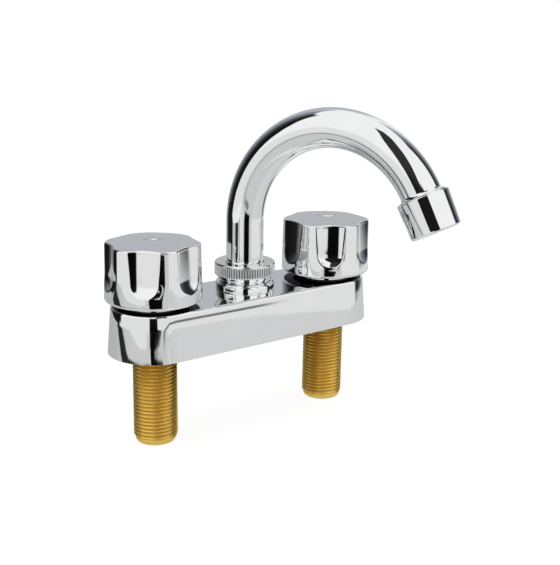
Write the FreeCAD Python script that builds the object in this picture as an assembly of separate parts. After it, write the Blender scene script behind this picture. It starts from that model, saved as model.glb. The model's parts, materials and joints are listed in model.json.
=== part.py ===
import FreeCAD, Part
import math
import os

# Two-handle centreset mixer tap with a swivelling gooseneck spout.
# Millimetres. X runs from the hot side to the cold side, the user stands at -Y, and Z is up.
# The origin is on the deck surface, midway between the two inlet shanks.

# Clearances
thread_clearance = 0.1
running_clearance = 0.1
seat_gap = 0.05
cut_margin = 1.0

# Deck body
shank_spacing = 101.6
body_height = 22.3
body_base_radius = 21.55
body_draft = 4.5
body_wall = 3.0
body_edge_radius = 1.2
pocket_rounding = 2.0
valve_boss_radius = 13.6
valve_boss_rise = 7.0
valve_boss_chamfer = 0.6
valve_seat_height = 8.0
valve_seat_thickness = 2.2
valve_port_radius = 5.5
waterway_height = 14.6
waterway_radius = 3.2
waterway_wall = 2.0

# Spout boss on the deck body, which the spout nut screws onto
spout_boss_foot_radius = 10.4
spout_boss_flare_radius = 12.2
spout_boss_flare_height = 4.4
spout_boss_column_radius = 11.4
spout_thread_radius = 10.4
spout_thread_length = 5.2
spout_bore_radius = 8.5
spout_bore_floor = 11.0

# Inlet shanks, half-inch pipe thread outside
shank_radius = 10.48
shank_bore_radius = 6.5
shank_length = 44.45
shank_end_chamfer = 1.4
shank_end_taper = 2.6
shank_end_rounding = 0.8
shank_relief = 0.5
shank_recess = 0.6
shank_spigot_radius = 9.4

# Headwork bonnet, half-inch pipe thread outside, and how far round each headwork is screwed in
hot_headwork_angle = 49.0
cold_headwork_angle = 57.0
bonnet_thread_radius = 10.48
bonnet_thread_length = 7.8
bonnet_relief_radius = 9.5
bonnet_relief_length = 1.7
bonnet_hex_width = 24.0
bonnet_hex_height = 4.0
bonnet_hex_chamfer = 0.9
bonnet_neck_radius = 8.2
bonnet_neck_height = 4.7
bonnet_cage_radius = 9.2
bonnet_cage_wall = 1.3
bonnet_cage_lift = 0.8
bonnet_window_width = 8.0
bonnet_window_margin = 0.6
bonnet_shoulder_drop = 8.9
bonnet_stop_height = 1.4
bonnet_stop_width = 2.4
bonnet_stop_inset = 1.0
bonnet_o_ring_section = 0.7
bonnet_o_ring_room = 0.35

# Ceramic discs and seat gasket
gasket_thickness = 1.6
disc_thickness = 2.6
disc_port_inner = 2.3
disc_port_outer = 6.2
disc_port_half_angle = 38.0
disc_slot_width = 3.2
disc_slot_depth = 1.0

# Spindle
quarter_turn = 90.0
spindle_radius = 4.0
spindle_collar_radius = 5.7
spindle_collar_height = 1.8
spindle_tang_length = 13.0
spindle_tang_height = 1.6
spindle_lug_half_angle = 15.0
spindle_stop_clearance = 1.0
spline_count = 20
spline_depth = 0.45
spline_length = 5.6
o_ring_groove_depth = 1.1
o_ring_groove_width = 1.5

# Knobs
knob_gap = 2.65
knob_height = 26.2
knob_rim_radius = 21.9
knob_skirt_radius = 22.45
knob_crown = 2.0
knob_skirt_rounding = 1.2
knob_edge_rounding = 0.8
flute_edge_rounding = 1.5
knob_cavity_radius = 16.4
knob_top_thickness = 2.9
knob_hub_radius = 6.6
knob_rib_thickness = 1.6
knob_rib_count = 4
flute_count = 6
flute_depth = 2.4
flute_width = 16.2
flute_length = 21.4
flute_end_radius = 12.0
flute_lean = 3.0
knob_hub_lift = 0.8

# Knob screw and index cap
screw_radius = 2.0
screw_length = 9.5
screw_head_radius = 3.5
screw_head_height = 2.2
screw_head_rounding = 0.5
screw_point_chamfer = 0.5
screw_slot_length = 5.2
screw_slot_width = 1.0
screw_slot_depth = 1.1
screw_floor_thickness = 1.3
cap_radius = 4.0
cap_crown = 0.8

# Spout nut
nut_radius = 14.7
nut_height = 9.24
nut_gap = 0.11
nut_foot_radius = 12.42
nut_foot_height = 2.9
nut_knurl_count = 72
nut_knurl_depth = 0.42
nut_top_chamfer = 0.55
nut_lip = 1.6

# Spout tube
tube_diameter = 18.0
tube_wall = 1.0
spout_rise = 55.5
bend_radius = 47.8
bend_sweep = 153.1
spout_rest_angle = -68.2

# Spout bush and glide washer
bush_bore_radius = 6.2
bush_flange_gap = 0.3
bush_socket_floor = 0.7
bush_spigot_clear = 0.5
glide_washer_thickness = 0.8
bush_ring_groove_depth = 1.45
bush_ring_groove_width = 1.7
bush_ring_pitch = 5.0
bush_ring_drop = 5.6

# Outlet collar and aerator
collar_flare = 2.0
collar_lip = 0.25
collar_thread_radius = 10.9
collar_length = 5.5
aerator_top_radius = 11.75
aerator_foot_radius = 11.25
aerator_length = 16.5
aerator_seam = 0.3
aerator_top_rounding = 0.45
aerator_foot_rounding = 1.3
aerator_lip = 1.2
aerator_lip_radius = 9.0
aerator_bore_radius = 10.0
aerator_washer_thickness = 1.5
aerator_washer_bore = 8.2
insert_flange_thickness = 1.2
insert_wall = 1.1
insert_plate_thickness = 1.4
insert_rib_count = 6
insert_rib_thickness = 0.8
insert_hole_radius = 0.75
insert_inner_circle = 3.6
insert_inner_hole_count = 8
insert_outer_circle = 6.6
insert_outer_hole_count = 14
screen_thickness = 0.35
screen_pitch = 1.9
screen_wire = 0.55

# Heights and radii that follow from the sizes above
half_spacing = shank_spacing / 2
tube_radius = tube_diameter / 2
chamber_top = body_height + valve_boss_rise
valve_bore_radius = bonnet_thread_radius + thread_clearance
gasket_top = valve_seat_height + gasket_thickness
fixed_disc_top = gasket_top + disc_thickness
moving_disc_bottom = fixed_disc_top + seat_gap
moving_disc_top = moving_disc_bottom + disc_thickness
cage_bore_radius = bonnet_cage_radius - bonnet_cage_wall
disc_radius = cage_bore_radius - running_clearance
hex_top = chamber_top + bonnet_hex_height
neck_top = hex_top + bonnet_neck_height
bonnet_shoulder = chamber_top - bonnet_shoulder_drop
stop_top = neck_top + bonnet_stop_height
knob_bottom = body_height + knob_gap
knob_rim = knob_bottom + knob_height
knob_top = knob_rim + knob_crown
knob_ceiling = knob_rim - knob_top_thickness
screw_seat = knob_ceiling - seat_gap
spindle_top = screw_seat - screw_floor_thickness - seat_gap
spline_bottom = spindle_top - spline_length
hub_bottom = stop_top + knob_hub_lift
nut_bottom = body_height + spout_boss_flare_height + nut_gap
nut_top = nut_bottom + nut_height
nut_bore_radius = spout_thread_radius + thread_clearance
spout_boss_top = body_height + spout_boss_flare_height + spout_thread_length
washer_top = spout_boss_top + glide_washer_thickness
flange_bottom = washer_top + running_clearance
flange_top = nut_top - nut_lip - running_clearance
tube_seat = flange_bottom + bush_socket_floor
spigot_radius = spout_bore_radius - running_clearance
spigot_bottom = waterway_height + waterway_radius + bush_spigot_clear
collar_end = spout_rise + collar_length
aerator_bottom = spout_rise + aerator_seam
aerator_end = aerator_bottom + aerator_length
insert_shoulder = collar_end + aerator_washer_thickness + insert_flange_thickness
screen_seat = aerator_end - aerator_lip


def at(x, y, z):
    return FreeCAD.Vector(x, y, z)


UP = at(0, 0, 1)


# Shapes that several pieces share
def outline(corners):
    """Closed wire in the XZ plane through (x, z) or (x, z, corner radius)."""
    stations = []
    for index, corner in enumerate(corners):
        here = at(corner[0], 0, corner[1])
        radius = corner[2] if len(corner) > 2 else 0
        if radius == 0:
            stations.append((here, None, here))
            continue
        before = corners[index - 1]
        after = corners[(index + 1) % len(corners)]
        back = (at(before[0], 0, before[1]) - here).normalize()
        ahead = (at(after[0], 0, after[1]) - here).normalize()
        half = back.getAngle(ahead) / 2
        reach = radius / math.tan(half)
        middle = here + (back + ahead).normalize() * (radius / math.sin(half) - radius)
        stations.append((here + back * reach, middle, here + ahead * reach))
    edges = []
    for index, (start, middle, end) in enumerate(stations):
        if middle is not None:
            edges.append(Part.Arc(start, middle, end).toShape())
        following = stations[(index + 1) % len(stations)][0]
        edges.append(Part.LineSegment(end, following).toShape())
    return Part.Wire(edges)


def turned(corners):
    """Solid of revolution about Z from an outline of (radius, height)."""
    return Part.Face(outline(corners)).revolve(at(0, 0, 0), UP, 360)


def cylinder(radius, bottom, top):
    return Part.makeCylinder(radius, top - bottom, at(0, 0, bottom))


def ring(outer, inner, bottom, top):
    return turned([(inner, bottom), (outer, bottom), (outer, top), (inner, top)])


def block(length, width, bottom, top):
    """Box centred on the Z axis."""
    return Part.makeBox(length, width, top - bottom, at(-length / 2, -width / 2, bottom))


def sector(outer, inner, bottom, top, start, end):
    """Ring cut to the angles from start to end, in degrees."""
    wedge = Part.makeCylinder(outer, top - bottom, at(0, 0, bottom), UP, end - start)
    wedge.rotate(at(0, 0, 0), UP, start)
    return wedge.cut(cylinder(inner, bottom, top))


def toothed(crest, root, count, bottom, top):
    """Prism with straight V-shaped teeth round it."""
    points = []
    for step in range(2 * count):
        radius = crest if step % 2 == 0 else root
        angle = math.pi * step / count
        points.append(at(radius * math.cos(angle), radius * math.sin(angle), bottom))
    points.append(points[0])
    return Part.Face(Part.makePolygon(points)).extrude(UP * (top - bottom))


def o_ring(middle_radius, section_radius, height):
    return Part.makeTorus(middle_radius, section_radius, at(0, 0, height))


def edges_above(solid, height):
    return [edge for edge in solid.Edges if edge.BoundBox.ZMin > height]


# Deck body: a drafted casting with two valve chambers, a spout boss and four cored pockets under it
def stadium(radius, height):
    front_hot = at(-half_spacing, -radius, height)
    front_cold = at(half_spacing, -radius, height)
    back_cold = at(half_spacing, radius, height)
    back_hot = at(-half_spacing, radius, height)
    cold_end = at(half_spacing + radius, 0, height)
    hot_end = at(-half_spacing - radius, 0, height)
    return Part.Wire([
        Part.LineSegment(front_hot, front_cold).toShape(),
        Part.Arc(front_cold, cold_end, back_cold).toShape(),
        Part.LineSegment(back_cold, back_hot).toShape(),
        Part.Arc(back_hot, hot_end, front_hot).toShape(),
    ])


def drafted(base_radius, height):
    top_radius = base_radius - height * math.tan(math.radians(body_draft))
    return Part.makeLoft([stadium(base_radius, 0), stadium(top_radius, height)], True, True)


def pocket():
    """Cored pocket in the underside, between the spout's column, a valve boss, the waterway and the wall."""
    ceiling = body_height - body_wall
    near = spout_boss_column_radius
    far = half_spacing - valve_boss_radius
    section = outline([
        (near, -cut_margin), (far, -cut_margin),
        (far, ceiling, pocket_rounding), (near, ceiling, pocket_rounding),
    ])
    prism = Part.Face(section).extrude(at(0, body_base_radius, 0))
    prism.translate(at(0, waterway_radius + waterway_wall, 0))
    return prism.common(drafted(body_base_radius - body_wall, ceiling))


def deck_body():
    body = drafted(body_base_radius, body_height)
    body = body.makeFillet(body_edge_radius, edges_above(body, body_height - body_wall))
    boss_root = body_height - body_wall / 2
    added = []
    for x in (-half_spacing, half_spacing):
        boss = turned([
            (0, boss_root), (valve_boss_radius, boss_root),
            (valve_boss_radius, chamber_top - valve_boss_chamfer),
            (valve_boss_radius - valve_boss_chamfer, chamber_top), (0, chamber_top),
        ])
        boss.translate(at(x, 0, 0))
        added.append(boss)
    flare_top = body_height + spout_boss_flare_height
    added.append(turned([
        (0, boss_root), (spout_boss_foot_radius, boss_root),
        (spout_boss_foot_radius, body_height), (spout_boss_flare_radius, flare_top),
        (spout_thread_radius, flare_top), (spout_thread_radius, spout_boss_top),
        (0, spout_boss_top),
    ]))
    removed = [
        cylinder(spout_bore_radius, spout_bore_floor, spout_boss_top),
        Part.makeCylinder(
            waterway_radius, shank_spacing, at(-half_spacing, 0, waterway_height), at(1, 0, 0)
        ),
    ]
    across = at(1, 0, 0)
    along = at(0, 1, 0)
    middle = at(0, 0, 0)
    back_cold = pocket()
    back_hot = back_cold.mirror(middle, across)
    removed += [back_cold, back_hot, back_cold.mirror(middle, along), back_hot.mirror(middle, along)]
    recess_bottom = chamber_top - bonnet_relief_length
    o_ring_recess_radius = bonnet_relief_radius + 2 * bonnet_o_ring_section + bonnet_o_ring_room
    spigot_end = valve_seat_height - valve_seat_thickness
    for x in (-half_spacing, half_spacing):
        chamber = [
            cylinder(shank_radius + thread_clearance, 0, shank_recess),
            cylinder(shank_spigot_radius + thread_clearance, 0, spigot_end),
            cylinder(valve_port_radius, 0, valve_seat_height),
            cylinder(valve_bore_radius, valve_seat_height, chamber_top),
            cylinder(o_ring_recess_radius, recess_bottom, chamber_top),
        ]
        for bore in chamber:
            bore.translate(at(x, 0, 0))
        removed += chamber
    return body.fuse(added).cut(removed).removeSplitter()


# Inlet shank, drawn on the valve axis
def shank():
    spigot_end = valve_seat_height - valve_seat_thickness - seat_gap
    return turned([
        (shank_bore_radius, -shank_length),
        (shank_radius - shank_end_chamfer, -shank_length, shank_end_rounding),
        (shank_radius, -shank_length + shank_end_taper),
        (shank_radius, -shank_relief), (shank_spigot_radius, -shank_relief),
        (shank_spigot_radius, spigot_end), (shank_bore_radius, spigot_end),
    ])


# Headwork: bonnet, ceramic discs, gasket and spindle, drawn on the valve axis
def bonnet():
    cage_bottom = valve_seat_height + bonnet_cage_lift
    relief_bottom = chamber_top - bonnet_relief_length
    thread_bottom = relief_bottom - bonnet_thread_length
    hex_corner = bonnet_hex_width / math.sqrt(3)
    corners = []
    for step in range(7):
        turn = math.radians(60 * step)
        corners.append(at(hex_corner * math.cos(turn), hex_corner * math.sin(turn), chamber_top))
    hexagon = Part.Face(Part.makePolygon(corners)).extrude(UP * bonnet_hex_height)
    hexagon = hexagon.common(turned([
        (0, chamber_top), (hex_corner, chamber_top), (hex_corner, hex_top - bonnet_hex_chamfer),
        (hex_corner - 2 * bonnet_hex_chamfer, hex_top), (0, hex_top),
    ]))
    stem = turned([
        (0, cage_bottom), (bonnet_cage_radius, cage_bottom), (bonnet_cage_radius, thread_bottom),
        (bonnet_thread_radius, thread_bottom), (bonnet_thread_radius, relief_bottom),
        (bonnet_relief_radius, relief_bottom), (bonnet_relief_radius, chamber_top),
        (bonnet_neck_radius, chamber_top), (bonnet_neck_radius, neck_top), (0, neck_top),
    ])
    stop_start = quarter_turn + spindle_lug_half_angle + spindle_stop_clearance
    stop_end = 360 - spindle_lug_half_angle - spindle_stop_clearance
    stop_radius = bonnet_neck_radius - bonnet_stop_inset
    stop = sector(stop_radius, stop_radius - bonnet_stop_width, neck_top - seat_gap, stop_top,
                  stop_start, stop_end)
    window_bottom = moving_disc_top + running_clearance
    window_top = thread_bottom - bonnet_window_margin
    return stem.fuse([hexagon, stop]).cut([
        cylinder(cage_bore_radius, cage_bottom, bonnet_shoulder),
        cylinder(spindle_radius + running_clearance, bonnet_shoulder, stop_top),
        block(2 * bonnet_cage_radius, bonnet_window_width, window_bottom, window_top),
        block(bonnet_window_width, 2 * bonnet_cage_radius, window_bottom, window_top),
    ]).removeSplitter()


def bonnet_o_ring():
    middle = bonnet_relief_radius + seat_gap + bonnet_o_ring_section
    return o_ring(middle, bonnet_o_ring_section, chamber_top - bonnet_o_ring_section - seat_gap)


def seat_gasket():
    return ring(disc_radius, valve_port_radius, valve_seat_height, gasket_top)


def disc_ports(bottom, top, angle):
    ports = []
    for turn in (angle, angle + 180):
        ports.append(sector(
            disc_port_outer, disc_port_inner, bottom, top,
            turn - disc_port_half_angle, turn + disc_port_half_angle,
        ))
    return ports


def fixed_disc():
    return cylinder(disc_radius, gasket_top, fixed_disc_top).cut(
        disc_ports(gasket_top, fixed_disc_top, 0)
    )


def moving_disc():
    slot_bottom = moving_disc_top - disc_slot_depth
    slot = block(2 * disc_radius, disc_slot_width, slot_bottom, moving_disc_top)
    return cylinder(disc_radius, moving_disc_bottom, moving_disc_top).cut(
        [slot] + disc_ports(moving_disc_bottom, moving_disc_top, quarter_turn)
    )


def spindle():
    tang_bottom = moving_disc_top - disc_slot_depth + seat_gap
    tang_top = moving_disc_top + spindle_tang_height
    collar_top = bonnet_shoulder - running_clearance
    groove_middle = (chamber_top + neck_top) / 2
    tang_width = disc_slot_width - 2 * running_clearance
    rod = cylinder(spindle_radius, moving_disc_top + seat_gap, spline_bottom)
    collar = cylinder(spindle_collar_radius, collar_top - spindle_collar_height, collar_top)
    tang = block(spindle_tang_length, tang_width, tang_bottom, tang_top)
    spline = toothed(spindle_radius, spindle_radius - spline_depth, spline_count,
                     spline_bottom, spindle_top)
    lug = sector(bonnet_neck_radius - bonnet_stop_inset, spindle_radius / 2,
                 neck_top + running_clearance, stop_top,
                 -spindle_lug_half_angle, spindle_lug_half_angle)
    half_groove = o_ring_groove_width / 2
    groove = ring(spindle_radius + cut_margin, spindle_radius - o_ring_groove_depth,
                  groove_middle - half_groove, groove_middle + half_groove)
    screw_hole = cylinder(screw_radius + thread_clearance, spindle_top - screw_length, spindle_top)
    return rod.fuse([collar, tang, spline, lug]).cut([groove, screw_hole]).removeSplitter()


def spindle_o_ring():
    section = (o_ring_groove_depth + running_clearance) / 2 - seat_gap
    middle = spindle_radius - o_ring_groove_depth + section + seat_gap
    return o_ring(middle, section, (chamber_top + neck_top) / 2)


# Knob: a drafted, crowned shell with scooped finger flutes and a splined hub
def knob_blank():
    blank = turned([
        (0, knob_bottom), (knob_skirt_radius, knob_bottom, knob_skirt_rounding),
        (knob_rim_radius, knob_rim), (knob_rim_radius, knob_top), (0, knob_top),
    ])
    dome_radius = (knob_rim_radius ** 2 + knob_crown ** 2) / (2 * knob_crown)
    blank = blank.common(Part.makeSphere(dome_radius, at(0, 0, knob_top - dome_radius)))
    return blank


def flute_cutter():
    """Scoop with a shallow arc across it and a lower end that runs out in a U."""
    half_width = flute_width / 2
    chord_distance = math.sqrt(knob_rim_radius ** 2 - half_width ** 2)
    floor_radius = knob_rim_radius - flute_depth
    sag = chord_distance - floor_radius
    scoop_radius = (half_width ** 2 + sag ** 2) / (2 * sag)
    run_out = math.sqrt(flute_end_radius ** 2 - (flute_end_radius - flute_depth) ** 2)
    straight_end = knob_rim - flute_length + run_out
    cutter = turned([
        (0, straight_end - flute_end_radius),
        (scoop_radius, straight_end - flute_end_radius, flute_end_radius),
        (scoop_radius, knob_top + cut_margin), (0, knob_top + cut_margin),
    ])
    cutter.translate(at(floor_radius + scoop_radius, 0, 0))
    cutter.rotate(at(floor_radius, 0, knob_rim), at(0, 1, 0), -flute_lean)
    return cutter


def fluted_blank():
    """The knob's outside, with the flutes blended into the lands and the rim eased."""
    flutes = []
    for step in range(flute_count):
        flute = flute_cutter()
        flute.rotate(at(0, 0, 0), UP, 360 / flute_count * step)
        flutes.append(flute)
    blank = knob_blank().cut(flutes)
    skirt_top = knob_bottom + knob_skirt_rounding
    rim_bottom = knob_rim - 2 * knob_edge_rounding
    borders = [edge for edge in edges_above(blank, skirt_top) if edge.BoundBox.ZMin < rim_bottom]
    blended = blank.makeFillet(flute_edge_rounding, borders)
    return blended.makeFillet(knob_edge_rounding, edges_above(blended, rim_bottom))


def knob():
    shell = fluted_blank()
    cavity = cylinder(knob_cavity_radius, knob_bottom, knob_ceiling)
    inside = [cylinder(knob_hub_radius, hub_bottom, knob_ceiling)]
    for step in range(knob_rib_count):
        rib = Part.makeBox(
            knob_cavity_radius, knob_rib_thickness, knob_ceiling - spline_bottom,
            at(0, -knob_rib_thickness / 2, spline_bottom),
        )
        rib.rotate(at(0, 0, 0), UP, 360 / knob_rib_count * step)
        inside.append(rib)
    inside_solid = inside[0].fuse(inside[1:])
    shell = shell.cut(cavity.cut(inside_solid))
    socket_crest = spindle_radius + running_clearance
    return shell.cut([
        toothed(socket_crest, socket_crest - spline_depth, spline_count,
                spline_bottom, spindle_top + seat_gap),
        cylinder(socket_crest, hub_bottom, spline_bottom),
        cylinder(screw_radius + running_clearance, spline_bottom, screw_seat),
        cylinder(cap_radius + running_clearance, screw_seat, knob_top),
    ])


def knob_screw():
    head_top = screw_seat + screw_head_height
    slot_bottom = head_top - screw_slot_depth
    point = screw_seat - screw_length
    body = turned([
        (0, point), (screw_radius - screw_point_chamfer, point),
        (screw_radius, point + screw_point_chamfer),
        (screw_radius, screw_seat), (screw_head_radius, screw_seat),
        (screw_head_radius, head_top, screw_head_rounding), (0, head_top),
    ])
    return body.cut([
        block(screw_slot_length, screw_slot_width, slot_bottom, head_top),
        block(screw_slot_width, screw_slot_length, slot_bottom, head_top),
    ])


def index_cap():
    """Button that closes the screw hole, domed above the knob's top."""
    bottom = screw_seat + screw_head_height + seat_gap
    crest = knob_top + cap_crown
    dome_radius = (cap_radius ** 2 + cap_crown ** 2) / (2 * cap_crown)
    dome = Part.makeSphere(dome_radius, at(0, 0, crest - dome_radius))
    return cylinder(cap_radius, bottom, crest).common(dome)


# Spout nut with a straight-knurled grip band
def spout_nut():
    knurl_bottom = nut_bottom + nut_foot_height
    shoulder = nut_radius - nut_knurl_depth
    band = toothed(nut_radius, shoulder, nut_knurl_count, knurl_bottom, nut_top)
    band = band.common(turned([
        (0, knurl_bottom), (nut_radius, knurl_bottom), (nut_radius, nut_top - nut_top_chamfer),
        (nut_radius - nut_top_chamfer, nut_top), (0, nut_top),
    ]))
    foot = turned([
        (0, nut_bottom), (nut_foot_radius, nut_bottom), (shoulder, knurl_bottom), (0, knurl_bottom),
    ])
    return band.fuse(foot).cut([
        cylinder(nut_bore_radius, nut_bottom, nut_top - nut_lip),
        cylinder(tube_radius + bush_flange_gap, nut_bottom, nut_top),
    ]).removeSplitter()


def glide_washer():
    return ring(spout_thread_radius - running_clearance, spout_bore_radius,
                spout_boss_top, washer_top)


# Spout: a bent tube brazed into a bush that turns in the boss
def bent_rod(radius):
    """Solid rod along the spout's centre line, up from the bush and round the bend."""
    rise = cylinder(radius, tube_seat, spout_rise)
    section = Part.Face(Part.Wire(Part.makeCircle(radius, at(0, 0, spout_rise))))
    bend = section.revolve(at(bend_radius, 0, spout_rise), at(0, 1, 0), bend_sweep)
    return rise.fuse(bend)


def spout_tube():
    return bent_rod(tube_radius).cut(bent_rod(tube_radius - tube_wall))


def bush_groove_heights():
    upper = flange_bottom - bush_ring_drop
    return (upper, upper - bush_ring_pitch)


def spout_bush():
    flange_radius = nut_bore_radius - bush_flange_gap
    bush = turned([
        (bush_bore_radius, spigot_bottom), (spigot_radius, spigot_bottom),
        (spigot_radius, flange_bottom), (flange_radius, flange_bottom),
        (flange_radius, flange_top), (tube_radius + seat_gap, flange_top),
        (tube_radius + seat_gap, tube_seat), (bush_bore_radius, tube_seat),
    ])
    half_groove = bush_ring_groove_width / 2
    grooves = [
        ring(spigot_radius + cut_margin, spigot_radius - bush_ring_groove_depth,
             height - half_groove, height + half_groove)
        for height in bush_groove_heights()
    ]
    return bush.cut(grooves)


def spout_o_rings():
    section = (bush_ring_groove_depth + running_clearance) / 2 - seat_gap
    middle = spigot_radius - bush_ring_groove_depth + section + seat_gap
    return Part.makeCompound([
        o_ring(middle, section, height) for height in bush_groove_heights()
    ])


# Outlet pieces, drawn upright on the start of the bend and carried round it afterwards
def outlet_collar():
    """Brazed collar that flares out from the tube and carries the aerator thread."""
    foot = at(tube_radius + collar_lip, 0, spout_rise - collar_flare)
    brim = at(tube_radius + collar_flare, 0, spout_rise)
    reach = collar_flare * math.sqrt(0.5)
    middle = at(tube_radius + collar_flare - reach, 0, spout_rise - collar_flare + reach)
    corners = [
        brim, at(collar_thread_radius, 0, spout_rise), at(collar_thread_radius, 0, collar_end),
        at(tube_radius - tube_wall, 0, collar_end), at(tube_radius - tube_wall, 0, spout_rise),
        at(tube_radius + seat_gap, 0, spout_rise),
        at(tube_radius + seat_gap, 0, spout_rise - collar_flare), foot,
    ]
    edges = [Part.Arc(foot, middle, brim).toShape()]
    for start, end in zip(corners, corners[1:]):
        edges.append(Part.LineSegment(start, end).toShape())
    return Part.Face(Part.Wire(edges)).revolve(at(0, 0, 0), UP, 360)


def aerator_housing():
    thread_bore = collar_thread_radius + thread_clearance
    return turned([
        (thread_bore, aerator_bottom), (aerator_top_radius, aerator_bottom, aerator_top_rounding),
        (aerator_foot_radius, aerator_end, aerator_foot_rounding),
        (aerator_lip_radius, aerator_end), (aerator_lip_radius, screen_seat),
        (aerator_bore_radius, screen_seat), (aerator_bore_radius, insert_shoulder),
        (thread_bore, insert_shoulder),
    ])


def aerator_washer():
    return ring(collar_thread_radius, aerator_washer_bore, collar_end,
                collar_end + aerator_washer_thickness)


def aerator_insert():
    top = insert_shoulder - insert_flange_thickness
    skirt_radius = aerator_bore_radius - running_clearance
    skirt_end = screen_seat - screen_thickness - seat_gap
    bore = skirt_radius - insert_wall
    cup = turned([
        (0, top), (collar_thread_radius, top), (collar_thread_radius, insert_shoulder),
        (skirt_radius, insert_shoulder), (skirt_radius, skirt_end), (bore, skirt_end),
        (bore, top + insert_plate_thickness), (0, top + insert_plate_thickness),
    ])
    ribs = []
    for step in range(insert_rib_count):
        rib = Part.makeBox(
            bore + insert_wall / 2, insert_rib_thickness, skirt_end - top,
            at(0, -insert_rib_thickness / 2, top),
        )
        rib.rotate(at(0, 0, 0), UP, 360 / insert_rib_count * step)
        ribs.append(rib)
    holes = []
    circles = (
        (insert_inner_circle, insert_inner_hole_count),
        (insert_outer_circle, insert_outer_hole_count),
    )
    for circle_radius, count in circles:
        for step in range(count):
            hole = cylinder(insert_hole_radius, top, top + insert_plate_thickness)
            hole.translate(at(circle_radius, 0, 0))
            hole.rotate(at(0, 0, 0), UP, 360 / count * (step + 0.5))
            holes.append(hole)
    return cup.cut(holes).fuse(ribs).removeSplitter()


def aerator_screen():
    """Round mesh disc: square gaps in a rim that sits on the housing's lip."""
    radius = aerator_bore_radius - running_clearance
    bottom = screen_seat - screen_thickness
    disc = cylinder(radius, bottom, screen_seat)
    reach = aerator_lip_radius - screen_wire
    rows = int(reach / screen_pitch)
    gap = screen_pitch - screen_wire
    gaps = []
    for column in range(-rows, rows + 1):
        for row in range(-rows, rows + 1):
            x = column * screen_pitch
            y = row * screen_pitch
            if math.hypot(abs(x) + gap / 2, abs(y) + gap / 2) < reach:
                opening = block(gap, gap, bottom, screen_seat)
                opening.translate(at(x, y, 0))
                gaps.append(opening)
    return disc.cut(gaps)


# Places: each side's valve as its headwork is screwed in, and the spout at rest
def on_valve(shape, x, angle):
    shape.rotate(at(0, 0, 0), UP, angle)
    shape.translate(at(x, 0, 0))
    return shape


def on_spout(shape):
    shape.rotate(at(0, 0, 0), UP, spout_rest_angle)
    return shape


def at_outlet(shape):
    shape.rotate(at(bend_radius, 0, spout_rise), at(0, 1, 0), bend_sweep)
    return on_spout(shape)


def all_pieces():
    pieces = {
        "deck_body": deck_body(),
        "spout_nut": spout_nut(),
        "glide_washer": glide_washer(),
        "spout_tube": on_spout(spout_tube()),
        "spout_bush": on_spout(spout_bush()),
        "spout_o_rings": on_spout(spout_o_rings()),
        "outlet_collar": at_outlet(outlet_collar()),
        "aerator_housing": at_outlet(aerator_housing()),
        "aerator_washer": at_outlet(aerator_washer()),
        "aerator_insert": at_outlet(aerator_insert()),
        "aerator_screen": at_outlet(aerator_screen()),
    }
    sides = (
        ("hot", -half_spacing, hot_headwork_angle),
        ("cold", half_spacing, cold_headwork_angle),
    )
    for side, x, angle in sides:
        valve = {
            "shank": shank(),
            "bonnet": bonnet(),
            "bonnet_o_ring": bonnet_o_ring(),
            "seat_gasket": seat_gasket(),
            "fixed_disc": fixed_disc(),
            "moving_disc": moving_disc(),
            "spindle": spindle(),
            "spindle_o_ring": spindle_o_ring(),
            "knob": knob(),
            "knob_screw": knob_screw(),
            "index_cap": index_cap(),
        }
        for name, shape in valve.items():
            pieces[side + "_" + name] = on_valve(shape, x, angle)
    return pieces


os.makedirs("parts", exist_ok=True)
for name, shape in all_pieces().items():
    shape.exportStep("parts/" + name + ".step")
    print(name, "solids", len(shape.Solids), "valid", shape.isValid(), "mm3", round(shape.Volume, 1))
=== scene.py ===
import json
import math

import bpy
from mathutils import Matrix, Vector


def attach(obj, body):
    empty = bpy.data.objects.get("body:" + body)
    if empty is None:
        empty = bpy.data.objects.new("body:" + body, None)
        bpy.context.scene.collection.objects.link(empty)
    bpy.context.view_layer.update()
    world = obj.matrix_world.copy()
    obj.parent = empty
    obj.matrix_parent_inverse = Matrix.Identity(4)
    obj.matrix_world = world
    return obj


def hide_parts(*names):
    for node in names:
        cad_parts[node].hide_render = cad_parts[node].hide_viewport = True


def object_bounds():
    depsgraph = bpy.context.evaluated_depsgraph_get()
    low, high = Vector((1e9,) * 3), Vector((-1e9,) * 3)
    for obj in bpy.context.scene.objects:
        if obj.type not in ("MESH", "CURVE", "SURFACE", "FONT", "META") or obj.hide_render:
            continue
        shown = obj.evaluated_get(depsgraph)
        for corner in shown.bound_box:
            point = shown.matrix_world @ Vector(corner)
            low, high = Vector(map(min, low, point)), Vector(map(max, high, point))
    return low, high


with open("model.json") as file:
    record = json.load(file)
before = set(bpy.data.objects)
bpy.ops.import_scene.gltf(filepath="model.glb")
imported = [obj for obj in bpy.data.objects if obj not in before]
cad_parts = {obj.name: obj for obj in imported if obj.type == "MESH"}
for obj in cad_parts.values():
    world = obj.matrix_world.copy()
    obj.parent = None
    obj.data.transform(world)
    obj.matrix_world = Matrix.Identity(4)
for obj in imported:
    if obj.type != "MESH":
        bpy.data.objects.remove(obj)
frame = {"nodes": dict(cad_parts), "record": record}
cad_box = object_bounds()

# A two-handle centreset mixer tap
# Metres: X from the hot side to the cold side, -Y towards the user, Z up
MM = 0.001

# Camera at the photograph's place, aimed at a point near the middle of the tap
camera_azimuth = -37.259
camera_elevation = 15.157
camera_distance = 468.783 * MM
camera_roll = 1.028
aim_right = 17.345 * MM
aim_height = 24.819 * MM
focal_pixels = 957.338
frame_height_pixels = 565
sensor_width_mm = 36.0

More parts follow.
